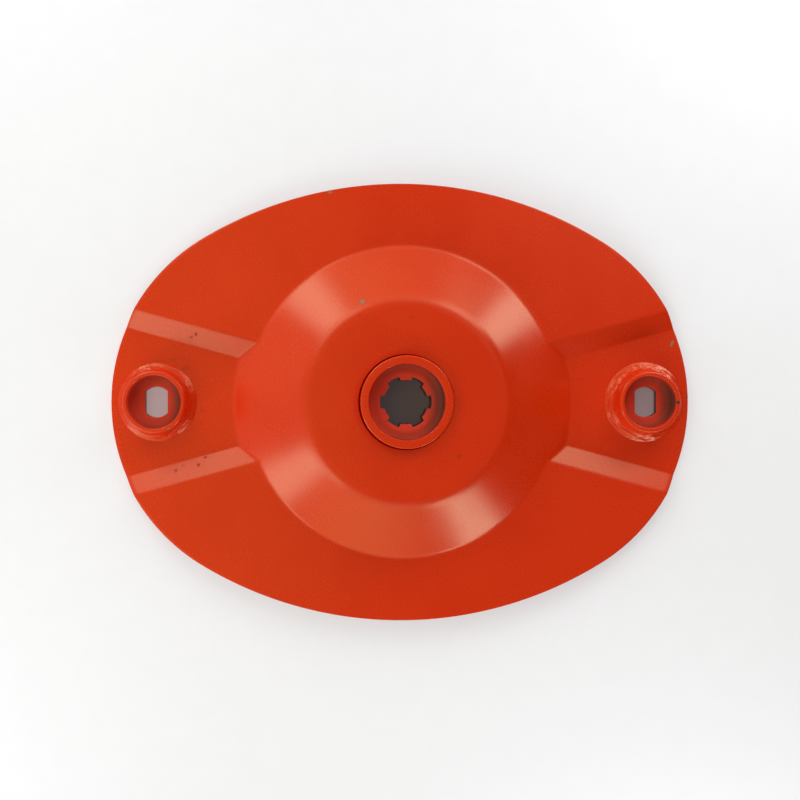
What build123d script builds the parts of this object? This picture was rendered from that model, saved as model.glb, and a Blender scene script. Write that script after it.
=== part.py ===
"""Oval cutting disc of a rotary disc mower: a pressed sheet, a splined hub and two nut guards, welded.

Millimetres. +Z is up along the spin axis, +X points at one blade bolt. The origin is on the spin axis, in the
plane of the two blade seats' undersides, on which the disc lies.
"""

import math
import os

from build123d import *

# Oval blank: two end arcs and two side arcs that run into each other without a corner
LENGTH = 400.0
WIDTH = 300.0
SHOULDER_ANGLE = 58.6  # degrees from the long axis, where an end arc becomes a side arc
SHEET = 4.0

# Dome pressed up in the middle, measured on the upper face to its sharp corners
DOME_RISE = 28.0
DOME_TOP_RADIUS = 68.0
DOME_FOOT_RADIUS = 107.0
CROWN_BEND = 15.0  # upper face, round the flat top
DOME_FOOT_BEND = 6.0  # upper face, where the cone runs out into the rim and the seats

# Blade seats: a sector of the rim at each end is pressed down between two sloping steps
SEAT_DROP = 7.0
SEAT_HALF_ANGLE = 15.2
STEP_SLOPE = 29.0
STEP_TOP_BEND = 10.0  # upper face, rim to step
STEP_FOOT_BEND = 8.0  # upper face, step to seat

# Nut guards: turned cups that shield the nuts of the blade bolts
BOLT_FROM_END = 31.0  # from the disc's end in to the bolt axis
GUARD_RADIUS = 21.2
GUARD_HEIGHT = 20.5
GUARD_FLOOR = 6.5
NUT_POCKET_RADIUS = 18.0
NUT_POCKET_BEND = 6.0
GUARD_RIM_CHAMFER = 0.6
BOLT_HOLE_RADIUS = 10.5
BOLT_HOLE_FLATS = 15.0  # across the two flats that keep the bolt from turning
GUARD_CLEARANCE = 0.2

# Hub: a turned sleeve with a broached spline below a pocket for the retaining nut
HUB_RADIUS = 31.0
HUB_PROUD = 5.0  # above the dome's flat top
HUB_POCKET_RADIUS = 25.5
HUB_POCKET_DEPTH = 16.0
HUB_POCKET_BEND = 4.0
HUB_RIM_CHAMFER = 1.0
SPLINE_LENGTH = 22.0
SPLINE_MINOR_RADIUS = 14.9
SPLINE_MAJOR_RADIUS = 17.45
SPLINE_SLOT_WIDTH = 8.7
SPLINE_SLOTS = 6
HUB_FOOT_CHAMFER = 2.0
HUB_CLEARANCE = 0.7

# Fillet welds
GUARD_WELD_LEG = 6.5
HUB_WELD_LEG = 5.0
WELD_CROWN = 0.6  # how far a bead's face bulges past the straight line between its toes

# Levels of the upper faces
SEAT_TOP = SHEET
RIM_TOP = SEAT_TOP + SEAT_DROP
DOME_TOP = RIM_TOP + DOME_RISE
HUB_TOP = DOME_TOP + HUB_PROUD

# Working allowances of the solids that are cut away later
SPARE = 20.0
CONE_SLOPE = math.atan2(DOME_RISE, DOME_FOOT_RADIUS - DOME_TOP_RADIUS)


def oval_face():
    """The flat outline of the blank."""
    half_length = LENGTH / 2
    half_width = WIDTH / 2
    shoulder = math.radians(SHOULDER_ANGLE)
    end_centre = (half_length - half_width) / (1 + math.tan(shoulder) - 1 / math.cos(shoulder))
    side_centre = end_centre * math.tan(shoulder)
    end_radius = half_length - end_centre
    side_radius = half_width + side_centre
    end_sweep = 2 * SHOULDER_ANGLE
    side_sweep = 180 - end_sweep
    outline = Curve() + [
        CenterArc((end_centre, 0), end_radius, -SHOULDER_ANGLE, end_sweep),
        CenterArc((0, -side_centre), side_radius, SHOULDER_ANGLE, side_sweep),
        CenterArc((-end_centre, 0), end_radius, 180 - SHOULDER_ANGLE, end_sweep),
        CenterArc((0, side_centre), side_radius, 180 + SHOULDER_ANGLE, side_sweep),
    ]
    return make_face(outline)


def seat_cutter(inset):
    """What is pressed out of the rim over the +X seat, for the surface that lies inset below the upper face."""
    slope = math.radians(STEP_SLOPE)
    along = Vector(1, 0, 0).rotate(Axis.Z, SEAT_HALF_ANGLE)
    outward = Vector(0, 1, 0).rotate(Axis.Z, SEAT_HALF_ANGLE)
    foot = inset * math.tan(slope / 2)
    height = SEAT_DROP + SPARE
    corners = [(-WIDTH, 0), (foot, 0), (foot + height / math.tan(slope), height), (-WIDTH, height)]
    start = along * (DOME_TOP_RADIUS / 2) + Vector(0, 0, SEAT_TOP - inset)
    across = Plane(origin=start, x_dir=outward, z_dir=along)
    side = extrude(across * make_face(Polyline(*corners, close=True)), LENGTH)
    return side & mirror(side, about=Plane.XZ)


def step_edges(body, level):
    """The four long step edges of the two seats that lie at one level."""
    slant = SEAT_HALF_ANGLE + 1
    found = []
    for edge in body.edges().filter_by(GeomType.LINE):
        low, high = edge.position_at(0), edge.position_at(1)
        flat = abs(low.Z - level) < 0.01 and abs(high.Z - level) < 0.01
        angle = abs(math.degrees(math.atan2(abs(high.Y - low.Y), abs(high.X - low.X))))
        if flat and 1 < angle < slant:
            found.append(edge)
    return found


def pressed_form(inset):
    """Everything below the surface that lies inset beneath the sheet's upper face, with that surface's bends."""
    depth = SHEET + SPARE
    rim = RIM_TOP - inset
    seat = SEAT_TOP - inset
    crown = DOME_TOP - inset
    block = Pos(0, 0, rim) * Box(
        LENGTH + SPARE,
        WIDTH + SPARE,
        rim + depth,
        align=(Align.CENTER, Align.CENTER, Align.MAX),
    )
    cutter = seat_cutter(inset)
    block -= cutter
    block -= Rot(0, 0, 180) * cutter
    block = fillet(step_edges(block, seat), STEP_FOOT_BEND + inset)
    block = fillet(step_edges(block, rim), STEP_TOP_BEND - inset)

    def cone_radius(z):
        return DOME_FOOT_RADIUS - (z + inset / math.cos(CONE_SLOPE) - RIM_TOP) / math.tan(CONE_SLOPE)

    foot = seat - SHEET
    cone = Pos(0, 0, foot) * Cone(
        cone_radius(foot),
        cone_radius(crown),
        crown - foot,
        align=(Align.CENTER, Align.CENTER, Align.MIN),
    )
    cone = fillet(cone.edges().group_by(Axis.Z)[-1], CROWN_BEND - inset)
    body = block + cone
    slope = max(body.faces().filter_by(GeomType.CONE), key=lambda face: face.area)
    run_out = [edge for edge in slope.edges() if edge.bounding_box().max.Z < rim + 0.01]
    return fillet(run_out, DOME_FOOT_BEND + inset)


def bolt_places():
    """The blade-bolt axes by side."""
    out = LENGTH / 2 - BOLT_FROM_END
    return {"left": Pos(-out, 0, 0), "right": Pos(out, 0, 0)}


def pressed_disc():
    """The sheet: the blank's outline between the upper and the lower pressed surface, with its three holes."""
    blank = Pos(0, 0, -SHEET) * extrude(oval_face(), DOME_TOP + 2 * SHEET)
    sheet = (blank & pressed_form(0)) - pressed_form(SHEET)
    tall = 2 * HUB_TOP
    sheet -= Cylinder(HUB_RADIUS + HUB_CLEARANCE, tall)
    for place in bolt_places().values():
        sheet -= place * Cylinder(GUARD_RADIUS + GUARD_CLEARANCE, tall)
    return sheet


def section(*points):
    """A face in the XZ plane from (radius, height) points."""
    return Plane.XZ * make_face(Polyline(*points, close=True))


def nut_guard():
    """A turned cup with a two-flat bolt hole through its floor."""
    profile = section(
        (0, 0),
        (GUARD_RADIUS, 0),
        (GUARD_RADIUS, GUARD_HEIGHT),
        (NUT_POCKET_RADIUS, GUARD_HEIGHT),
        (NUT_POCKET_RADIUS, GUARD_FLOOR),
        (0, GUARD_FLOOR),
    )
    cup = revolve(profile, Axis.Z)
    cup = chamfer(cup.edges().group_by(Axis.Z)[-1], GUARD_RIM_CHAMFER)
    pocket_corner = [
        edge
        for edge in cup.edges().filter_by(GeomType.CIRCLE)
        if abs(edge.center(CenterOf.GEOMETRY).Z - GUARD_FLOOR) < 0.01
    ]
    cup = fillet(pocket_corner, NUT_POCKET_BEND)
    stroke = 4 * GUARD_FLOOR
    hole = Cylinder(BOLT_HOLE_RADIUS, stroke) & Box(BOLT_HOLE_FLATS, 3 * BOLT_HOLE_RADIUS, stroke)
    return cup - hole


def splined_hub():
    """A turned sleeve, pocketed above and broached below."""
    foot = HUB_TOP - HUB_POCKET_DEPTH - SPLINE_LENGTH
    ledge = HUB_TOP - HUB_POCKET_DEPTH
    profile = section(
        (SPLINE_MINOR_RADIUS, foot),
        (HUB_RADIUS, foot),
        (HUB_RADIUS, HUB_TOP),
        (HUB_POCKET_RADIUS, HUB_TOP),
        (HUB_POCKET_RADIUS, ledge),
        (SPLINE_MINOR_RADIUS, ledge),
    )
    hub = revolve(profile, Axis.Z)
    hub = chamfer(hub.edges().group_by(Axis.Z)[-1], HUB_RIM_CHAMFER)
    circles = hub.edges().filter_by(GeomType.CIRCLE)
    pocket_corner = [
        edge
        for edge in circles
        if abs(edge.center(CenterOf.GEOMETRY).Z - ledge) < 0.01 and abs(edge.radius - HUB_POCKET_RADIUS) < 0.01
    ]
    hub = fillet(pocket_corner, HUB_POCKET_BEND)
    foot_edge = hub.edges().group_by(Axis.Z)[0].sort_by(SortBy.RADIUS)[-1]
    hub = chamfer(foot_edge, HUB_FOOT_CHAMFER)
    stroke = 3 * SPLINE_LENGTH
    tooth = Box(HUB_RADIUS, SPLINE_SLOT_WIDTH, stroke, align=(Align.MIN, Align.CENTER, Align.CENTER))
    slot = Pos(0, 0, foot) * (tooth & Cylinder(SPLINE_MAJOR_RADIUS, stroke))
    for turn in PolarLocations(0, SPLINE_SLOTS):
        hub -= turn * slot
    return hub


def fillet_weld(radius, seat, leg):
    """A bead round a cylinder of that radius. It stands on the level seat, and hangs below it if leg is negative."""
    reach = abs(leg)
    toe_out = (radius + reach, seat)
    toe_up = (radius, seat + leg)
    bulge = WELD_CROWN * math.copysign(1, leg) / math.sqrt(2)
    middle = (radius + reach / 2 + abs(bulge), seat + leg / 2 + bulge)
    outline = Curve() + [
        Line((radius, seat), toe_out),
        ThreePointArc(toe_out, middle, toe_up),
        Line(toe_up, (radius, seat)),
    ]
    return revolve(Plane.XZ * make_face(outline), Axis.Z)


def build():
    """Every piece by node name."""
    guard = nut_guard()
    guard_weld = fillet_weld(GUARD_RADIUS, SEAT_TOP, GUARD_WELD_LEG)
    pieces = {
        "pressed_disc": pressed_disc(),
        "splined_hub": splined_hub(),
        "hub_weld": fillet_weld(HUB_RADIUS, DOME_TOP - SHEET, -HUB_WELD_LEG),
    }
    for side, place in bolt_places().items():
        pieces[f"{side}_nut_guard"] = place * guard
        pieces[f"{side}_guard_weld"] = place * guard_weld
    return pieces


os.makedirs("parts", exist_ok=True)
for name, piece in build().items():
    export_step(piece, os.path.join("parts", f"{name}.step"))
    print(name, round(piece.volume), "mm3")
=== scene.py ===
import math

import bmesh
import bpy
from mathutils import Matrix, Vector


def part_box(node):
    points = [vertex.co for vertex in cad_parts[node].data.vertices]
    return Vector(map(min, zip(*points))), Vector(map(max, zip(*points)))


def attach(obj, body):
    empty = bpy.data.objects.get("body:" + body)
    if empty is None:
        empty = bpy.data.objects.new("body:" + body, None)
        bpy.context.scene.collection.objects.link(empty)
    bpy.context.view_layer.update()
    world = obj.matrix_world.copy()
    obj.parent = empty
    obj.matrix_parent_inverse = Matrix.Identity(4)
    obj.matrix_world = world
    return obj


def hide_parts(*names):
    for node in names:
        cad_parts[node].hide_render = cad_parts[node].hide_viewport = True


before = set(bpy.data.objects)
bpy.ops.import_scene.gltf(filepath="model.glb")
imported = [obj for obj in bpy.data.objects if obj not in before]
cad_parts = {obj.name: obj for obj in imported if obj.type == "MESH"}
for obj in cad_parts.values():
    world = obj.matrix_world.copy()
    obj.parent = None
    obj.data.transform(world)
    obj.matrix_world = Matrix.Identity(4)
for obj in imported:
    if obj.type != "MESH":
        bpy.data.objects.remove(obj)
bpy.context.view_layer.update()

MM = 0.001
disc_low, disc_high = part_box("pressed_disc")
hub_low, hub_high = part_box("splined_hub")
guard_low, guard_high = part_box("right_nut_guard")

# Pressed sheet: an oval plate with a raised dome and a sunk blade seat at each end
HALF_LENGTH = disc_high.x
HALF_WIDTH = disc_high.y
SHOULDER_ANGLE = math.radians(58.6)  # from the long axis, where an end arc becomes a side arc
SHEET = 4 * MM
SEAT_TOP = disc_low.z + SHEET
RIM_TOP = SEAT_TOP + 7 * MM
DOME_TOP = disc_high.z
DOME_TOP_RADIUS = 68 * MM
DOME_FOOT_RADIUS = 107 * MM
CROWN_BEND = 15 * MM
DOME_FOOT_BEND = 6 * MM
SEAT_HALF_ANGLE = math.radians(15.2)
STEP_SLOPE = math.radians(26.5)
STEP_MIDDLE = 6.3 * MM  # from the seat's edge line to half way up the step
STEP_TOP_BEND = 6.5 * MM
STEP_FOOT_BEND = 2.5 * MM
CUT_EDGE = 0.45 * MM

# The sheet's mesh is closest where it bends, between these radii and these bearings
CROWN_FROM, CROWN_TO = 57 * MM, 80 * MM
FOOT_FROM, FOOT_TO = 101 * MM, 126 * MM
STEP_FROM, STEP_TO = math.radians(13.3), math.radians(24.3)

# Splined hub, standing in the middle of the dome
HUB_TOP = hub_high.z
HUB_FOOT = hub_low.z
HUB_RADIUS = hub_high.x
HUB_RIM_BEND = 1.1 * MM
HUB_LIP_BEND = 0.5 * MM
HUB_FOOT_BEND = 2 * MM
HUB_CLEARANCE = 0.7 * MM
HUB_HOLE_SHIFT = -0.4 * MM  # the sheet's hole for the hub sits a little to the left
HUB_POCKET_RADIUS = 25.5 * MM
HUB_POCKET_BEND = 4 * MM
HUB_LEDGE = HUB_TOP - 16 * MM
HUB_STOCK = 5 * MM  # left inside the spline for the cutter to take
SPLINE_MINOR_RADIUS = 14.9 * MM
SPLINE_MAJOR_RADIUS = 17.45 * MM
SPLINE_SLOT_WIDTH = 8.7 * MM
SPLINE_SLOTS = 6

# Nut guards, one on each blade seat
GUARD_REACH = (guard_low.x + guard_high.x) / 2
GUARD_TOP = guard_high.z
GUARD_FOOT = guard_low.z
GUARD_RADIUS = (guard_high.y - guard_low.y) / 2
GUARD_RIM_BEND = 1.9 * MM
GUARD_LIP_BEND = 0.7 * MM
GUARD_FOOT_BEND = 0.5 * MM
GUARD_CLEARANCE = 0.2 * MM
GUARD_FLOOR = GUARD_FOOT + 6.5 * MM
GUARD_STOCK = 4 * MM  # left inside the bolt hole for the cutter to take
NUT_POCKET_RADIUS = 18 * MM
NUT_POCKET_BEND = 6 * MM
BOLT_HOLE_RADIUS = 10.5 * MM
BOLT_HOLE_FLATS = 15 * MM

# Weld beads, as the tree that makes them names their sizes
GUARD_BEAD = {"Wall Radius": GUARD_RADIUS, "Plate Level": SEAT_TOP, "Facing": 1.0, "Rise": 8.0 * MM,
              "Foot Rise": 3.8 * MM, "Wall Slope": 3.7, "Bend": 4.5 * MM, "Crown": 0.15 * MM,
              "Streaks": 2.5, "Streak Height": 1.9 * MM, "Ripple Pitch": 3.4 * MM,
              "Ripple Height": 0.05 * MM, "Wander": 0.5 * MM, "Heavier Inside": 0.05}
LEFT_BEAD = dict(GUARD_BEAD, **{"Reach": 5.8 * MM, "Centre X": -GUARD_REACH, "Side": -1.0, "Seed": 3.0})
RIGHT_BEAD = dict(GUARD_BEAD, **{"Reach": 6.9 * MM, "Centre X": GUARD_REACH, "Side": 1.0, "Seed": 11.0})
HUB_BEAD = {"Wall Radius": HUB_RADIUS, "Plate Level": DOME_TOP - SHEET, "Facing": -1.0, "Rise": 5 * MM,
            "Foot Rise": 5 * MM, "Wall Slope": 1.0, "Bend": 0.01 * MM, "Crown": 0.8 * MM,
            "Streaks": 1.0, "Streak Height": 0.3 * MM, "Ripple Pitch": 2.6 * MM,
            "Ripple Height": 0.2 * MM, "Wander": 0.4 * MM, "Heavier Inside": 0.0,
            "Reach": 5 * MM, "Centre X": 0.0, "Side": 1.0, "Seed": 23.0}
BEAD_TOE = 0.1 * MM  # how far a bead's edges sink into the metal
BEAD_FACE_CELLS, BEAD_ROUND_CELLS = 20, 480
DRIFT_SCALE, SPREAD_SCALE, STREAK_SCALE = 70.0, 110.0, 130.0
STREAK_LANE = 9  # millimetres
RIPPLE_SWAY = 0.4  # how far a ripple bows and strays, as a share of the pitch
SWELL_SHARE = 0.7
WALL_CROWDING = 1.3  # over 1, points gather by the wall

# Meshes: points round a turned piece and along a bend, what counts as one point, and edges
TURN_STEPS = 144
EASE_STEPS = 6
ONE_POINT = 0.002 * MM
BROKEN_EDGE = 0.3 * MM
BROKEN_ANGLE, CUT_EDGE_ANGLE = 50, 60
SHARP_ANGLE, NEVER_SHARP = 35, 180


class Field:
    """One output in a node tree, used in sums like a number."""

    def __init__(self, nodes, socket):
        self.nodes = nodes
        self.socket = socket

    def __add__(self, other):
        return self.nodes.math("ADD", self, other)

    def __radd__(self, other):
        return self.nodes.math("ADD", other, self)

    def __sub__(self, other):
        return self.nodes.math("SUBTRACT", self, other)

    def __rsub__(self, other):
        return self.nodes.math("SUBTRACT", other, self)

    def __mul__(self, other):
        return self.nodes.math("MULTIPLY", self, other)

    def __rmul__(self, other):
        return self.nodes.math("MULTIPLY", other, self)

    def __truediv__(self, other):
        return self.nodes.math("DIVIDE", self, other)


class Nodes:
    """Adds nodes to one tree. An input takes a plain value or another node's output."""

    def __init__(self, tree):
        self.tree = tree

    def new(self, kind, inputs=None, **settings):
        node = self.tree.nodes.new(kind)
        for name, value in settings.items():
            setattr(node, name, value)
        for key, value in (inputs or {}).items():
            self.feed(node.inputs[key], value)
        return node

    def out(self, kind, inputs=None, output=0, **settings):
        return Field(self, self.new(kind, inputs, **settings).outputs[output])

    def feed(self, socket, value):
        if isinstance(value, Field):
            self.tree.links.new(value.socket, socket)
        else:
            socket.default_value = value

    def math(self, operation, *values):
        return self.out("ShaderNodeMath", dict(enumerate(values)), operation=operation)

    def most(self, fields):
        """The largest of the fields."""
        largest = fields[0]
        for field in fields[1:]:
            largest = self.math("MAXIMUM", largest, field)
        return largest

    def length(self, x, y):
        return self.math("SQRT", x * x + y * y)

    def ramp(self, value, start, end, low=0.0, high=1.0, kind="LINEAR"):
        ends = {"Value": value, "From Min": start, "From Max": end, "To Min": low, "To Max": high}
        return self.out("ShaderNodeMapRange", ends, interpolation_type=kind)

    def mix(self, share, first, second):
        return self.out("ShaderNodeMix", {0: share, 6: first, 7: second}, output=2, data_type="RGBA")

    def parts(self, vector):
        split = self.new("ShaderNodeSeparateXYZ", {0: vector})
        return [Field(self, socket) for socket in split.outputs]

    def joined(self, x, y, z):
        return self.out("ShaderNodeCombineXYZ", {0: x, 1: y, 2: z})

    def noise(self, place, scale, detail):
        return self.out("ShaderNodeTexNoise", {"Vector": place, "Scale": scale, "Detail": detail})

    def object_place(self):
        return self.out("ShaderNodeTexCoord", output="Object")

    def ray_kinds(self, *kinds):
        """One for rays of any of these kinds, and nothing for others."""
        ray = self.new("ShaderNodeLightPath")
        return self.most([Field(self, ray.outputs[kind]) for kind in kinds])


def new_piece(name, content):
    piece = bpy.data.objects.new(name, content)
    bpy.context.scene.collection.objects.link(piece)
    return piece


def drawn(name, shape):
    """A piece with the faces of a bmesh, all turned outwards."""
    bmesh.ops.recalc_face_normals(shape, faces=shape.faces)
    mesh = bpy.data.meshes.new(name)
    shape.to_mesh(mesh)
    shape.free()
    return new_piece(name, mesh)


def settle(piece):
    """Makes what the piece's modifiers give its own plain mesh."""
    depsgraph = bpy.context.evaluated_depsgraph_get()
    mesh = bpy.data.meshes.new_from_object(piece.evaluated_get(depsgraph))
    started = piece.data
    piece.modifiers.clear()
    piece.data = mesh
    bpy.data.meshes.remove(started)
    mesh.name = piece.name


def turn_outwards(piece):
    shape = bmesh.new()
    shape.from_mesh(piece.data)
    bmesh.ops.recalc_face_normals(shape, faces=shape.faces)
    shape.to_mesh(piece.data)
    shape.free()


def shade(piece, sharp_angle):
    piece.data.shade_smooth()
    piece.data.set_sharp_from_angle(angle=math.radians(sharp_angle))


def bevel(piece, width, angle):
    """Breaks the edges sharper than the angle, and closes the slivers that this leaves."""
    edge = piece.modifiers.new("broken_edges", "BEVEL")
    edge.width = width
    edge.segments = 2
    edge.limit_method = "ANGLE"
    edge.angle_limit = math.radians(angle)
    slivers = piece.modifiers.new("closed_slivers", "WELD")
    slivers.merge_threshold = ONE_POINT
    settle(piece)


def cut(piece, cutter):
    """Takes the cutter's form out of the piece, and the cutter out of the scene."""
    bite = piece.modifiers.new("cut", "BOOLEAN")
    bite.object = cutter
    bite.operation = "DIFFERENCE"
    bite.solver = "EXACT"
    settle(piece)
    bpy.data.meshes.remove(cutter.data)


def new_tree(name, sizes):
    """A Geometry Nodes tree with a named input for each size, and those inputs as fields."""
    tree = bpy.data.node_groups.new(name, "GeometryNodeTree")
    tree.interface.new_socket("Geometry", in_out="OUTPUT", socket_type="NodeSocketGeometry")
    for size in sizes:
        tree.interface.new_socket(size, in_out="INPUT", socket_type="NodeSocketFloat")
    nodes = Nodes(tree)
    entry = nodes.new("NodeGroupInput")
    return nodes, {size: Field(nodes, entry.outputs[size]) for size in sizes}


def grid(nodes, cells_x, cells_y):
    """A flat grid with its two shares, each climbing from 0 to 1 across the cells."""
    counts = {"Size X": 1.0, "Size Y": 1.0, "Vertices X": cells_x + 1, "Vertices Y": cells_y + 1}
    mesh = nodes.out("GeometryNodeMeshGrid", counts)
    x, y, _ = nodes.parts(nodes.out("GeometryNodeInputPosition"))
    return mesh, x + 0.5, y + 0.5


def close_tree(nodes, mesh, place, material):
    """Puts the grid's points in their place, closes its seams and gives it its material."""
    shaped = nodes.out("GeometryNodeSetPosition", {"Geometry": mesh, "Position": place})
    sealed = nodes.out("GeometryNodeMergeByDistance", {"Geometry": shaped, "Distance": ONE_POINT})
    real = nodes.out("GeometryNodeRealizeInstances", {"Geometry": sealed})
    painted = nodes.out("GeometryNodeSetMaterial", {"Geometry": real, "Material": material})
    nodes.new("NodeGroupOutput", {"Geometry": painted})
    return nodes.tree


def grown(name, tree, sizes):
    """A piece with the mesh that the tree makes of these sizes."""
    piece = new_piece(name, bpy.data.meshes.new(name))
    growth = piece.modifiers.new(tree.name, "NODES")
    growth.node_group = tree
    for socket in tree.interface.items_tree:
        if socket.in_out == "INPUT":
            growth[socket.identifier] = sizes[socket.name]
    settle(piece)
    return piece


def graded(nodes, share, stretches):
    """Climbs through the stretches, each given as its number of mesh cells and its two ends."""
    cells = sum(stretch[0] for stretch in stretches)
    passed, value = 0, stretches[0][1]
    for count, start, end in stretches:
        value = nodes.ramp(share, passed / cells, (passed + count) / cells, 0.0, end - start) + value
        passed += count
    return value


def bend_depth(radius, slope):
    """How far two faces at this slope stand apart where the bend between them starts."""
    round_fit = 1.4  # makes a smooth maximum follow a round bend of this radius
    return round_fit * math.tan(slope) * radius * math.tan(slope / 2)


def sheet_sizes():
    shoulder = SHOULDER_ANGLE
    end_centre = (HALF_LENGTH - HALF_WIDTH) / (1 + math.tan(shoulder) - 1 / math.cos(shoulder))
    side_centre = end_centre * math.tan(shoulder)
    side_radius = HALF_WIDTH + side_centre
    corner = math.atan2(side_radius * math.sin(shoulder) - side_centre, side_radius * math.cos(shoulder))
    dome_slope = math.atan2(DOME_TOP - RIM_TOP, DOME_FOOT_RADIUS - DOME_TOP_RADIUS)
    return {"End Centre": end_centre, "End Radius": HALF_LENGTH - end_centre,
            "Side Centre": side_centre, "Side Radius": side_radius, "Corner Bearing": corner,
            "Hub Hole Radius": HUB_RADIUS + HUB_CLEARANCE, "Hub Hole Shift": HUB_HOLE_SHIFT,
            "Seat Top": SEAT_TOP, "Rim Top": RIM_TOP, "Dome Top": DOME_TOP,
            "Dome Foot Radius": DOME_FOOT_RADIUS, "Dome Slope": math.tan(dome_slope),
            "Crown Bend": bend_depth(CROWN_BEND, dome_slope),
            "Dome Foot Bend": bend_depth(DOME_FOOT_BEND, dome_slope),
            "Seat Half Angle": SEAT_HALF_ANGLE, "Step Slope": math.tan(STEP_SLOPE),
            "Step Middle": STEP_MIDDLE, "Step Middle Top": (SEAT_TOP + RIM_TOP) / 2,
            "Step Top Bend": bend_depth(STEP_TOP_BEND, STEP_SLOPE),
            "Step Foot Bend": bend_depth(STEP_FOOT_BEND, STEP_SLOPE)}


def oval_reach(nodes, size, cosine, sine, bearing):
    """From the middle to the oval's edge: an arc round each end, a flatter one along each side."""
    end_rise = size["End Centre"] * sine
    side_run = size["Side Centre"] * cosine
    end_span = nodes.math("SQRT", size["End Radius"] * size["End Radius"] - end_rise * end_rise)
    side_span = nodes.math("SQRT", size["Side Radius"] * size["Side Radius"] - side_run * side_run)
    end_reach = size["End Centre"] * cosine + end_span
    side_reach = side_span - size["Side Centre"] * sine
    on_end = nodes.math("LESS_THAN", bearing, size["Corner Bearing"])
    return side_reach + on_end * (end_reach - side_reach)


def pressed_height(nodes, size, reach, x, y):
    """Top of the sheet: dome, rim and sunk seats, bent into each other."""
    seat_edge = size["Seat Half Angle"]
    side = y * nodes.math("COSINE", seat_edge) - x * nodes.math("SINE", seat_edge)
    step = size["Step Middle Top"] + (side - size["Step Middle"]) * size["Step Slope"]
    foot = nodes.math("SMOOTH_MAX", size["Seat Top"], step, size["Step Foot Bend"])
    plate = nodes.math("SMOOTH_MIN", size["Rim Top"], foot, size["Step Top Bend"])
    flank = size["Rim Top"] + (size["Dome Foot Radius"] - reach) * size["Dome Slope"]
    dome = nodes.math("SMOOTH_MIN", size["Dome Top"], flank, size["Crown Bend"])
    return nodes.math("SMOOTH_MAX", dome, plate, size["Dome Foot Bend"])


def pressed_sheet_tree(sizes, paint):
    """One quarter of the sheet's top, laid out by ring and spoke, and its three mirror images."""
    nodes, size = new_tree("pressed_sheet", sizes)
    hole = size["Hub Hole Radius"]
    rings = [(6, hole, CROWN_FROM), (20, CROWN_FROM, CROWN_TO), (6, CROWN_TO, FOOT_FROM),
             (30, FOOT_FROM, FOOT_TO)]
    spokes = [(8, 0.0, STEP_FROM), (60, STEP_FROM, STEP_TO), (48, STEP_TO, math.radians(90))]
    outer_cells = 20
    ring_cells = sum(ring[0] for ring in rings) + outer_cells
    mesh, across, around = grid(nodes, ring_cells, 4 * sum(spoke[0] for spoke in spokes))
    turn = around * 4
    bearing = graded(nodes, nodes.math("PINGPONG", turn, 1.0), spokes)
    cosine, sine = nodes.math("COSINE", bearing), nodes.math("SINE", bearing)
    outline = oval_reach(nodes, size, cosine, sine, bearing)
    reach = graded(nodes, across, rings + [(outer_cells, FOOT_TO, outline)])
    x, y = reach * cosine, reach * sine
    height = pressed_height(nodes, size, reach, x, y)
    leftward = nodes.math("LESS_THAN", nodes.math("ABSOLUTE", turn - 2), 1.0)
    downward = nodes.math("GREATER_THAN", turn, 2.0)
    shift = size["Hub Hole Shift"] * nodes.ramp(reach, hole, CROWN_FROM, 1.0, 0.0)
    place = nodes.joined(x * (1 - 2 * leftward) + shift, y * (1 - 2 * downward), height)
    return close_tree(nodes, mesh, place, paint)


def pressed_sheet(paint):
    """The oval sheet, of one thickness everywhere, with room for the hub and the two guards."""
    sizes = sheet_sizes()
    sheet = grown("pressed_sheet", pressed_sheet_tree(sizes, paint), sizes)
    wall = sheet.modifiers.new("thickness", "SOLIDIFY")
    wall.thickness = SHEET
    wall.offset = -1
    wall.use_even_offset = True
    settle(sheet)
    bevel(sheet, CUT_EDGE, CUT_EDGE_ANGLE)
    for side in (-1, 1):
        outline = circle(GUARD_RADIUS + GUARD_CLEARANCE, side * GUARD_REACH)
        cut(sheet, prism("guard_hole", outline, disc_low.z - SHEET, SEAT_TOP + SHEET))
    shade(sheet, SHARP_ANGLE)
    return sheet


def on_circle(radius, bearing, centre_x=0.0):
    return centre_x + radius * math.cos(bearing), radius * math.sin(bearing)


def circle(radius, centre_x):
    return [on_circle(radius, math.tau * step / TURN_STEPS, centre_x) for step in range(TURN_STEPS)]


def prism(name, outline, low, high):
    """A cutter with this outline, from one height to another."""
    shape = bmesh.new()
    base = shape.faces.new([shape.verts.new((x, y, low)) for x, y in outline])
    raised = bmesh.ops.extrude_face_region(shape, geom=[base])["geom"]
    corners = [item for item in raised if isinstance(item, bmesh.types.BMVert)]
    bmesh.ops.translate(shape, verts=corners, vec=(0, 0, high - low))
    return drawn(name, shape)


def eased(corners):
    """A closed section through (radius, height, bend) corners, each rounded by its bend."""
    points = []
    for index, (radius, height, bend) in enumerate(corners):
        here = Vector((radius, height))
        ways = [Vector(corners[other % len(corners)][:2]) - here for other in (index - 1, index + 1)]
        start, end = (here + way.normalized() * bend for way in ways)
        shares = [step / EASE_STEPS for step in range(EASE_STEPS + 1)] if bend else [0.5]
        points += [start * (1 - t) ** 2 + here * 2 * t * (1 - t) + end * t ** 2 for t in shares]
    return points


def turned(name, corners, centre_x):
    """A ring turned about the upright line at centre_x from its section."""
    shape = bmesh.new()
    section = eased(corners)
    rings = []
    for step in range(TURN_STEPS):
        bearing = math.tau * step / TURN_STEPS
        rings.append([shape.verts.new((*on_circle(r, bearing, centre_x), z)) for r, z in section])
    for ring, following in zip(rings, rings[1:] + rings[:1]):
        for index in range(len(section)):
            shape.faces.new((ring[index - 1], ring[index], following[index], following[index - 1]))
    return drawn(name, shape)


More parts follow.
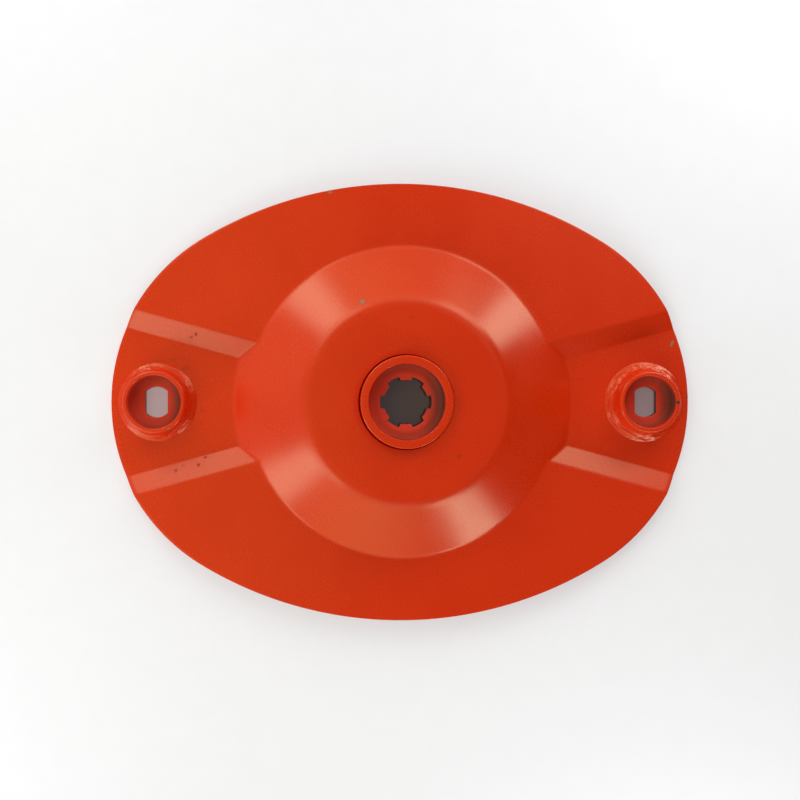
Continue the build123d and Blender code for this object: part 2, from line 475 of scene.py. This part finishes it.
def spline_outline():
    """Straight-sided slots round a bore, one pair of them along the disc.

    The arcs have odd numbers of sides, which keeps their points off the edges of the turned ring.
    """
    crest_sides, land_sides = 9, 7
    half_slot = SPLINE_SLOT_WIDTH / 2
    inner, outer = math.asin(half_slot / SPLINE_MINOR_RADIUS), math.asin(half_slot / SPLINE_MAJOR_RADIUS)
    pitch = math.tau / SPLINE_SLOTS
    land = pitch - 2 * inner
    outline = []
    for slot in range(SPLINE_SLOTS):
        middle = slot * pitch
        outline += [on_circle(SPLINE_MAJOR_RADIUS, middle + outer * step / crest_sides)
                    for step in range(-crest_sides, crest_sides + 1, 2)]
        outline += [on_circle(SPLINE_MINOR_RADIUS, middle + inner + land * step / land_sides)
                    for step in range(land_sides + 1)]
    return outline


def flatted_outline(centre_x):
    """A round hole with two flats, which keep a bolt head from turning."""
    arc_sides = 24
    flat = math.acos(BOLT_HOLE_FLATS / 2 / BOLT_HOLE_RADIUS)
    arc = math.pi - 2 * flat
    return [on_circle(BOLT_HOLE_RADIUS, start + arc * step / arc_sides, centre_x)
            for start in (flat, math.pi + flat) for step in range(arc_sides + 1)]


def finish_turning(piece, cutter, paint):
    """Cuts the hole through the floor, breaks the edges and paints the piece."""
    cut(piece, cutter)
    bevel(piece, BROKEN_EDGE, BROKEN_ANGLE)
    piece.data.materials.clear()
    piece.data.materials.append(paint)
    shade(piece, SHARP_ANGLE)
    return piece


def splined_hub(paint):
    bore = SPLINE_MINOR_RADIUS - HUB_STOCK
    hub = turned("splined_hub_turned", [
        (HUB_RADIUS, HUB_TOP, HUB_RIM_BEND), (HUB_POCKET_RADIUS, HUB_TOP, HUB_LIP_BEND),
        (HUB_POCKET_RADIUS, HUB_LEDGE, HUB_POCKET_BEND), (bore, HUB_LEDGE, 0), (bore, HUB_FOOT, 0),
        (HUB_RADIUS, HUB_FOOT, HUB_FOOT_BEND)], 0.0)
    return finish_turning(hub, prism("spline", spline_outline(), HUB_FOOT - SHEET, HUB_LEDGE + SHEET), paint)


def nut_guard(name, centre_x, paint):
    bore = BOLT_HOLE_FLATS / 2 - GUARD_STOCK
    guard = turned(name, [
        (GUARD_RADIUS, GUARD_TOP, GUARD_RIM_BEND), (NUT_POCKET_RADIUS, GUARD_TOP, GUARD_LIP_BEND),
        (NUT_POCKET_RADIUS, GUARD_FLOOR, NUT_POCKET_BEND), (bore, GUARD_FLOOR, 0), (bore, GUARD_FOOT, 0),
        (GUARD_RADIUS, GUARD_FOOT, GUARD_FOOT_BEND)], centre_x)
    hole = prism("bolt_hole", flatted_outline(centre_x), GUARD_FOOT - SHEET, GUARD_FLOOR + SHEET)
    return finish_turning(guard, hole, paint)


def uneven(nodes, x, y, lane, scale, detail):
    """Noise between -1 and 1 along the bead, another in each lane."""
    return nodes.noise(nodes.joined(x, y, lane), scale, detail) * 2 - 1


def weld_bead_tree(sizes, paint):
    """A bead laid round a wall: steep by the wall, flatter at its foot, streaky and sunk at its toes."""
    nodes, size = new_tree("weld_bead", sizes)
    cells = BEAD_FACE_CELLS + 2
    mesh, across, around = grid(nodes, cells, BEAD_ROUND_CELLS)
    bearing = around * math.tau
    cosine, sine = nodes.math("COSINE", bearing), nodes.math("SINE", bearing)
    share = nodes.ramp(across, 1 / cells, 1 - 1 / cells)
    arch = 4 * share * (1 - share)

    lap_x, lap_y = cosine * size["Wall Radius"], sine * size["Wall Radius"]
    lane = share * size["Streaks"] * STREAK_LANE * MM + size["Seed"] + 3
    drift = uneven(nodes, lap_x, lap_y, size["Seed"], DRIFT_SCALE, 2.0)
    spread = uneven(nodes, lap_x, lap_y, size["Seed"] + 7, SPREAD_SCALE, 3.0)
    streak = uneven(nodes, lap_x, lap_y, lane, STREAK_SCALE, 3.0)

    # A whole number of ripples goes round, so that the bead's two ends meet
    ripples = nodes.math("ROUND", math.tau * size["Wall Radius"] / size["Ripple Pitch"])
    wave = around * ripples + RIPPLE_SWAY * arch + RIPPLE_SWAY * spread
    ripple = nodes.math("SINE", wave * math.tau)
    swell = size["Crown"] + size["Streak Height"] * streak + size["Ripple Height"] * ripple
    swell = SWELL_SHARE * swell * arch

    reach = size["Reach"] * (1 - size["Heavier Inside"] * cosine * size["Side"]) + size["Wander"] * spread
    run = reach * nodes.math("POWER", share, WALL_CROWDING)
    foot = size["Foot Rise"] * (1 - run / reach)
    climb = size["Rise"] + size["Wander"] * drift - run * size["Wall Slope"]
    base_out = run - BEAD_TOE * (1 - share)
    base_up = nodes.math("SMOOTH_MAX", foot, climb, size["Bend"]) - BEAD_TOE * share
    push_out, push_up = swell * (1 - share), swell * (0.4 + 0.6 * share)

    # The first and last rows of points close the bead along the corner behind it
    corner = nodes.math("GREATER_THAN", nodes.math("ABSOLUTE", across - 0.5), 0.5 - 0.5 / cells)
    out = size["Wall Radius"] + (1 - corner) * (base_out + push_out) - corner * BEAD_TOE
    up = (1 - corner) * (base_up + push_up) - corner * BEAD_TOE
    level = size["Plate Level"] + size["Facing"] * up
    place = nodes.joined(out * cosine + size["Centre X"], out * sine, level)
    return close_tree(nodes, mesh, place, paint)


def weld_bead(name, tree, sizes):
    bead = grown(name, tree, sizes)
    turn_outwards(bead)
    shade(bead, NEVER_SHARP)
    return bead


# Paint: what it is in the open and where it is worn; the pockets painted lighter as painted light, their
# walls and far sides painted darker as painted shade, and the hole walls painted dark
RED, LIGHT_RED = (0.622, 0.0235, 0.0012, 1), (0.660, 0.0275, 0.0017, 1)
GRAIN_RED = (0.55, 0.023, 0.001, 1)
DULL_RED = (0.23, 0.022, 0.006, 1)
# Painted light: the pockets are painted lighter than the open paint
POCKET_PAINTED_LIGHT = (0.83, 0.050, 0.024, 1)
# Painted shade: the pocket walls, darker on the right, and the pockets' far (right) sides
WALL_PAINTED_SHADE = (0.25, 0.019, 0.012, 1)
FAR_SIDE_PAINTED_SHADE = (0.10, 0.030, 0.022, 1)
# The walls of the holes below the pocket floors are painted dark
DARK_HOLE_WALL = (0.024, 0.018, 0.016, 1)
PRIMER = (0.215, 0.175, 0.105, 1)
DARK_PIT = (0.022, 0.022, 0.022, 1)
WARM_SHEEN = (1.0, 0.93, 0.57, 1)
CHIP_DEPTH = 0.12 * MM
CLOUD_SCALE, PEEL_SCALE, GRAIN_SCALE, RAGGED_SCALE = 22.0, 420.0, 900.0, 1400.0
RAGGEDNESS = 1.1
GRAIN_SHARE, WALL_SHADE_SHARE, FAR_SIDE_SHADE_SHARE = 0.10, 0.7, 0.8
CLOUD_GLOSS, GRAIN_GLOSS = 0.10, 0.06
CHIP_DULLNESS, POCKET_DULLNESS, SPOT_DULLNESS = 0.3, 0.4, 0.5

# Marks in the paint, in millimetres: where, half its length, width and height, and its turn in degrees
PRIMER_CHIPS = [
    ((-29.3, 66.8, 35.6), 1.7, 1.8, 2.5, 0), ((-50.8, 143.6, 11.0), 1.5, 0.9, 2.0, 15),
    ((188.6, 41.3, 4.0), 2.6, 0.9, 2.0, 65), ((-158.7, -18.4, 20.5), 1.9, 1.0, 1.2, 30)]
DARK_PITS = [((188.4, -0.3, 20.5), 1.6, 1.2, 1.5, 0), ((199.3, 3.2, 3.0), 0.8, 1.6, 2.0, 0)]
DULL_SPOTS = [
    ((-140.7, -42.8, 8.0), 1.8, 1.7, 3.0, 0), ((-151.1, -43.2, 8.0), 1.5, 1.2, 3.0, 0),
    ((-155.9, -46.9, 8.0), 1.6, 1.4, 3.0, 0), ((-136.2, -37.9, 6.0), 1.6, 1.1, 3.0, 10),
    ((-142.1, 46.0, 8.0), 1.2, 1.6, 3.0, 0), ((-145.5, 44.3, 7.5), 1.3, 1.1, 3.0, 0),
    ((-115.1, -29.5, 6.0), 1.2, 1.0, 3.0, 0), ((-130.8, -33.6, 5.0), 1.5, 0.7, 3.0, 15),
    ((117.7, -31.3, 6.0), 1.8, 0.7, 3.0, -15)]
FAINT_SMUDGES = [
    ((-149.8, 23.0, 4.0), 3.4, 2.0, 3.0, 20), ((-157.6, 29.0, 4.0), 2.2, 1.3, 3.0, 0),
    ((-138.4, -5.5, 4.0), 1.5, 2.4, 3.0, 0), ((35.0, -36.2, 39.0), 1.9, 2.3, 2.0, 0),
    ((4.1, 56.4, 39.0), 1.6, 1.2, 2.0, 0), ((73.7, -63.6, 18.4), 1.8, 1.2, 4.0, 0)]


def marks(nodes, place, ragged, spots):
    """One wherever a spot lies, with a ragged edge, and nothing elsewhere."""
    masks = []
    for centre, half_length, half_width, half_height, degrees in spots:
        near = nodes.out("ShaderNodeMapping", {
            "Vector": place, "Location": [value * MM for value in centre],
            "Rotation": (0, 0, math.radians(degrees)),
            "Scale": (half_length * MM, half_width * MM, half_height * MM)}, vector_type="TEXTURE")
        distance = nodes.out("ShaderNodeVectorMath", {0: near}, output="Value", operation="LENGTH")
        masks.append(nodes.ramp(distance + ragged, 1.0, 0.75, kind="SMOOTHSTEP"))
    return nodes.most(masks)


def pocket_masks(nodes, x, y, z, radius, top, hole_radius, floor):
    """Masks for one pocket: all of it, its wall, its far side, and the walls of the hole in its floor, which
    are painted dark.
    """
    distance = nodes.length(x, y)
    within = nodes.ramp(distance, radius + 0.6 * MM, radius + 0.2 * MM)
    below_lip = nodes.ramp(z, top - 0.8 * MM, top - 3 * MM)
    above_hole = nodes.ramp(z, floor - 1.0 * MM, floor - 0.3 * MM)
    pocket = within * below_lip * above_hole
    # Painted shade on the wall, stronger towards the rim and on the right
    wall = pocket * nodes.ramp(distance, hole_radius + 1 * MM, radius - 2 * MM)
    wall = wall * nodes.ramp(x, -0.9 * radius, -0.2 * radius, 0.25, 1.0)
    # Painted shade on the pocket's right side
    far_side_shade = pocket * nodes.ramp(x, 0.45 * radius, 0.95 * radius)
    # The hole walls below the floor, painted dark
    hole = nodes.ramp(distance, hole_radius + 0.3 * MM, hole_radius + 0.1 * MM)
    hole = hole * nodes.ramp(z, floor - 0.2 * MM, floor - 0.5 * MM)
    return pocket, wall, far_side_shade, hole


def pocket_light_and_shade(nodes, place):
    """Masks for painted light and shade: the pockets, painted lighter, their walls and far sides, painted
    darker, and the hole walls, painted dark.
    """
    x, y, z = nodes.parts(place)
    from_bolt_x = x - GUARD_REACH * nodes.math("SIGN", x)
    in_guards = pocket_masks(nodes, from_bolt_x, y, z, NUT_POCKET_RADIUS, GUARD_TOP,
                             BOLT_HOLE_RADIUS, GUARD_FLOOR)
    in_hub = pocket_masks(nodes, x, y, z, HUB_POCKET_RADIUS, HUB_TOP, SPLINE_MAJOR_RADIUS, HUB_LEDGE)
    return [nodes.most(pair) for pair in zip(in_guards, in_hub)]


def new_material(name):
    """A material, its nodes and its shader."""
    material = bpy.data.materials.new(name)
    material.use_nodes = True
    return material, Nodes(material.node_tree), material.node_tree.nodes["Principled BSDF"]


def red_enamel(name, roughness, peel):
    """Sprayed paint: slightly cloudy, faintly rippled, chipped to the primer in places, with painted light in
    its pockets and painted shade on their walls and far sides.
    """
    material, nodes, shader = new_material(name)
    place = nodes.object_place()
    clouds = nodes.noise(place, CLOUD_SCALE, 3.0)
    grain = nodes.noise(place, GRAIN_SCALE, 2.0)
    ragged = (nodes.noise(place, RAGGED_SCALE, 3.0) - 0.5) * RAGGEDNESS
    chips = marks(nodes, place, ragged, PRIMER_CHIPS)
    pits = marks(nodes, place, ragged, DARK_PITS)
    spots = marks(nodes, place, ragged, DULL_SPOTS) * nodes.ramp(grain, 0.25, 0.6, 0.25, 0.7)
    smudges = marks(nodes, place, ragged, FAINT_SMUDGES) * nodes.ramp(grain, 0.25, 0.6, 0.10, 0.35)
    # Masks for painted light in the pockets, painted shade on their walls and right sides, and the dark hole
    # walls
    pocket, wall, far_side_shade, hole = pocket_light_and_shade(nodes, place)
    coat = nodes.mix(nodes.ramp(clouds, 0.3, 0.7), RED, LIGHT_RED)
    for share, colour in (
            (nodes.ramp(grain, 0.35, 0.65) * GRAIN_SHARE, GRAIN_RED), (pocket, POCKET_PAINTED_LIGHT),
            (wall * WALL_SHADE_SHARE, WALL_PAINTED_SHADE), (far_side_shade * FAR_SIDE_SHADE_SHARE, FAR_SIDE_PAINTED_SHADE),
            (nodes.most([spots, smudges]), DULL_RED), (hole, DARK_HOLE_WALL), (chips, PRIMER), (pits, DARK_PIT)):
        coat = nodes.mix(share, coat, colour)
    gone = nodes.most([chips, pits])
    gloss = roughness + (clouds - 0.5) * CLOUD_GLOSS + (grain - 0.5) * GRAIN_GLOSS
    worn = gone * CHIP_DULLNESS + pocket * POCKET_DULLNESS + spots * SPOT_DULLNESS
    skin = nodes.noise(place, PEEL_SCALE, 2.0) * peel - gone * CHIP_DEPTH
    nodes.feed(shader.inputs["Base Color"], coat)
    nodes.feed(shader.inputs["Roughness"], gloss + worn)
    nodes.feed(shader.inputs["Normal"], nodes.out("ShaderNodeBump", {
        "Height": skin, "Strength": 1.0, "Distance": 1.0}))
    shader.inputs["Specular IOR Level"].default_value = 0.5
    shader.inputs["Specular Tint"].default_value = WARM_SHEEN
    return material


# Floor: pale paper in the open, and what is seen of it through the bolt holes and the spline: under the disc,
# painted shade and painted red bounce light
FLOOR_HALF = 4.0
FLOOR_LEVEL = -0.3 * MM
PAPER, LIGHT_PAPER = (0.545, 0.553, 0.602, 1), (0.557, 0.565, 0.614, 1)
# Painted shade and painted red bounce light under the disc: the paper there is darker and pinker, and glows
# pink
SHADED_PAPER_UNDER_DISC = (0.32, 0.265, 0.29, 1)
OPEN_GLOW, RED_BOUNCE_GLOW = (1, 0.995, 0.99, 1), (1, 0.72, 0.72, 1)
NEAR_REACH, NEAR_PAPER = 0.45, 0.365
FAR_REACH, FAR_PAPER = 0.75, 0.63
# Glow seen through the bolt holes, brighter on the left than on the right: painted light; under the dome it
# drops, a painted shadow
HOLE_REACH, LEFT_HOLE_GLOW, RIGHT_HOLE_GLOW = 0.17, 0.30, 0.145
DOME_SHARE = 0.10  # of that glow, left under the dome
# Shares of the way from the middle to the outline
DOME_FROM, DOME_TO = 0.6, 0.7
OPEN_FROM, OPEN_TO = 0.92, 1.0


def paper_glow(nodes, place):
    """How far each point lies in the open, and how brightly it glows to the camera: under the disc the glow
    is painted light seen through the bolt holes, brighter on the left, and drops to a painted shadow under
    the dome.
    """
    x, y, _ = nodes.parts(place)
    oval = nodes.length(x / HALF_LENGTH, y / HALF_WIDTH)
    through_bolts = (nodes.ramp(x, -HOLE_REACH, HOLE_REACH, LEFT_HOLE_GLOW, RIGHT_HOLE_GLOW)
                     * nodes.ramp(oval, DOME_FROM, DOME_TO, DOME_SHARE, 1.0))
    in_open = nodes.ramp(oval, OPEN_FROM, OPEN_TO)
    open_paper = nodes.ramp(nodes.length(x, y), NEAR_REACH, FAR_REACH, NEAR_PAPER, FAR_PAPER)
    return in_open, through_bolts + in_open * (open_paper - through_bolts)


def pale_floor():
    """Paper that the disc lies on: it keeps the disc's shadow, and under the disc it carries a painted shade
    and a painted red bounce glow, darkest under the dome.
    """
    material, nodes, shader = new_material("pale_paper")
    place = nodes.object_place()
    paper = nodes.mix(nodes.ramp(nodes.noise(place, 60.0, 4.0), 0.3, 0.7), PAPER, LIGHT_PAPER)
    seen = nodes.ray_kinds("Is Camera Ray", "Is Glossy Ray", "Is Transmission Ray")
    in_open, glow = paper_glow(nodes, place)
    # Under the disc: painted shade in the paper's colour and painted red bounce light in its glow
    nodes.feed(shader.inputs["Base Color"], nodes.mix(in_open, SHADED_PAPER_UNDER_DISC, paper))
    nodes.feed(shader.inputs["Emission Color"], nodes.mix(in_open, RED_BOUNCE_GLOW, OPEN_GLOW))
    nodes.feed(shader.inputs["Emission Strength"], seen * glow)
    shader.inputs["Roughness"].default_value = 0.9
    shader.inputs["Specular IOR Level"].default_value = 0.1
    mesh = bpy.data.meshes.new("pale_floor")
    corners = [(x * FLOOR_HALF, y * FLOOR_HALF, FLOOR_LEVEL) for x, y in ((-1, -1), (1, -1), (1, 1), (-1, 1))]
    mesh.from_pydata(corners, [], [(0, 1, 2, 3)])
    mesh.materials.append(material)
    floor = new_piece("pale_floor", mesh)


def direction(azimuth, elevation):
    """Away from the disc: azimuth goes round from +X, elevation up from the floor."""
    turn, lift = math.radians(azimuth), math.radians(elevation)
    return Vector((math.cos(turn) * math.cos(lift), math.sin(turn) * math.cos(lift), math.sin(lift)))


# Lamps: name, place, width, height, brightness and colour
BOX_DISTANCE = 0.75
WHITE, WARM_WHITE = (1, 1, 1), (1.0, 0.90, 0.40)
LAMPS = [
    ("upper_right_box", direction(37, 11) * BOX_DISTANCE, 0.20, 0.25, 6.6, WHITE),
    ("upper_left_box", direction(130, 15) * BOX_DISTANCE, 0.21, 0.25, 5.0, WHITE),
    ("lower_left_box", direction(214, 15) * BOX_DISTANCE, 0.21, 0.25, 5.1, WHITE),
    ("lower_right_box", direction(303, 9) * BOX_DISTANCE, 0.22, 0.16, 7.6, WHITE),
    ("warm_ceiling", (-0.30, 0.0, 0.80), 0.70, 0.60, 0.50, WARM_WHITE),
    ("bright_ceiling", (0.31, 0.30, 0.80), 0.26, 0.26, 0.45, WHITE),
    ("left_panel", (-0.50, 0.0, 0.12), 0.60, 0.20, 0.35, WHITE),
    ("upper_left_panel", (-0.285, 0.375, 0.35), 0.25, 0.24, 2.2, WHITE),
    ("lower_left_panel", (-0.39, -0.34, 0.35), 0.25, 0.24, 2.6, WHITE),
    ("upper_right_panel", (0.305, 0.415, 0.29), 0.24, 0.28, 3.2, WHITE),
    ("lower_right_panel", (0.21, -0.46, 0.21), 0.14, 0.12, 6.4, WHITE)]

# Tent of pale cloth: its light, the bearing of its gap, and its two colours
TENT_LIGHT = 1.02
TENT_LEAN = 0.65  # how much brighter it is on the right than in the middle
LOW_CLOTH, HIGH_CLOTH = 0.12, 0.15  # shares of its light near the floor and overhead
TENT_GAP = math.radians(-12)
GAP_DEPTH = 0.96
PALE_CLOTH, WARM_CLOTH = (1.0, 0.99, 0.98, 1), (1.0, 0.93, 0.50, 1)
SEEN_CLOTH = 0.85
# Where lamps outside light the cloth: azimuth, elevation, how bright, and how closely gathered
BRIGHT_CLOTH = [(66, 11, 0.55, 14), (108, 13, 1.00, 14), (162, 14, 0.45, 14), (240, 10, 0.9, 25),
                (262, 12, 1.20, 14)]


def soft_box(name, place, width, height, radiance, colour):
    """An even light that faces the disc."""
    lamp = bpy.data.lights.new(name, "AREA")
    lamp.shape = "RECTANGLE"
    lamp.size = width
    lamp.size_y = height
    lamp.energy = radiance * math.pi * width * height
    lamp.color = colour
    box = new_piece(name, lamp)
    box.location = place
    box.rotation_euler = Vector(place).to_track_quat("Z", "Y").to_euler()
    box.visible_camera = False


def cloth_light(nodes):
    """How bright the tent is in each direction, and how much of that is its warm glow.

    The cloth is dim above the disc and has a gap on the right.
    """
    way = nodes.out("ShaderNodeTexCoord", output="Generated")
    x, y, z = nodes.parts(way)
    level = nodes.math("SQRT", nodes.math("MAXIMUM", 1 - z * z, 0.0001))
    towards_gap = (x * math.cos(TENT_GAP) + y * math.sin(TENT_GAP)) / level
    gap = nodes.ramp(towards_gap, 0.22, 0.60, kind="SMOOTHSTEP") * nodes.ramp(z, 0.94, 0.74)
    wall = nodes.ramp(z, 0.18, 0.50, LOW_CLOTH, 1.0) * nodes.ramp(z, 0.68, 0.93, 1.0, HIGH_CLOTH)
    cloth = TENT_LIGHT * (1 + TENT_LEAN * x) * (1 - GAP_DEPTH * gap) * wall
    glow = 0.0
    for azimuth, elevation, brightness, gathered in BRIGHT_CLOTH:
        facing = nodes.out("ShaderNodeVectorMath", {0: way, 1: direction(azimuth, elevation)},
                           output="Value", operation="DOT_PRODUCT")
        glow = glow + brightness * nodes.math("POWER", nodes.math("MAXIMUM", facing, 0.0), gathered)
    return cloth + glow, glow


def studio():
    """Soft boxes low in the corners, panels above and beside them, and the tent round it all."""
    for lamp in LAMPS:
        soft_box(*lamp)
    world = bpy.data.worlds.new("pale_tent")
    bpy.context.scene.world = world
    world.use_nodes = True
    nodes = Nodes(world.node_tree)
    sky = world.node_tree.nodes["Background"]
    seen = nodes.ray_kinds("Is Camera Ray")
    lit, glow = cloth_light(nodes)
    nodes.feed(sky.inputs["Color"], nodes.mix((1 - seen) * glow / lit, PALE_CLOTH, WARM_CLOTH))
    nodes.feed(sky.inputs["Strength"], (1 - seen) * lit + seen * SEEN_CLOTH)
    bpy.context.scene.view_settings.view_transform = "Standard"


# The camera hangs over the disc, a little left of its middle, and leans back towards it
CAMERA_PLACE = (-51.9 * MM, 1.4 * MM, 845.4 * MM)
CAMERA_LEAN = math.radians(3.36)
CAMERA_LENS = 54.8
CAMERA_SENSOR = 36.0


def photo_camera():
    camera = bpy.data.cameras.new("photo_camera")
    camera.sensor_width = CAMERA_SENSOR
    camera.lens = CAMERA_LENS
    camera.clip_start = 10 * MM
    stand = new_piece("photo_camera", camera)
    stand.location = CAMERA_PLACE
    stand.rotation_euler = (0.0, -CAMERA_LEAN, 0.0)
    bpy.context.scene.camera = stand


def fit(piece, node):
    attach(piece, "root")
    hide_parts(node)


def cutting_disc():
    paint = red_enamel("red_enamel", roughness=0.27, peel=0.004 * MM)
    bead_paint = red_enamel("red_enamel_on_welds", roughness=0.25, peel=0.012 * MM)
    fit(pressed_sheet(paint), "pressed_disc")
    fit(splined_hub(paint), "splined_hub")
    fit(nut_guard("left_guard_turned", -GUARD_REACH, paint), "left_nut_guard")
    fit(nut_guard("right_guard_turned", GUARD_REACH, paint), "right_nut_guard")
    bead_tree = weld_bead_tree(HUB_BEAD, bead_paint)
    fit(weld_bead("left_guard_bead", bead_tree, LEFT_BEAD), "left_guard_weld")
    fit(weld_bead("right_guard_bead", bead_tree, RIGHT_BEAD), "right_guard_weld")
    fit(weld_bead("hub_bead", bead_tree, HUB_BEAD), "hub_weld")


cutting_disc()
pale_floor()
studio()
photo_camera()
